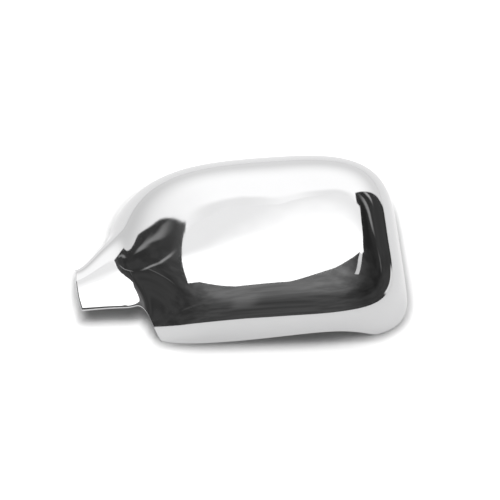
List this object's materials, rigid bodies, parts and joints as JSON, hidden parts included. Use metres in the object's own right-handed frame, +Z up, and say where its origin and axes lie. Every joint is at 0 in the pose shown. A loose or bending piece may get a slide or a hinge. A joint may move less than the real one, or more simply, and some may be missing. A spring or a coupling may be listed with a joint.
{
  "type": "wing mirror cover",
  "caption": "Chrome-plated clip-on cover for a car's wing mirror, a pillow-shaped shell with an arm neck, ribs, pegs and snap hooks inside.",
  "frame": {"origin": "middle of the overall box at the plane of the rim, on which the cover lies", "axes": "+X along the cover from the arm neck to the outer end, +Y from the lower rim to the upper rim, +Z up from the rim to the crown"},
  "size_m": [0.2456, 0.151, 0.0526],
  "materials": {
    "plated_shell": "mirror-bright decorative plating on moulded plastic"
  },
  "bodies": {
    "root": {"mirror_cover": "plated_shell"}
  },
  "joints": []
}
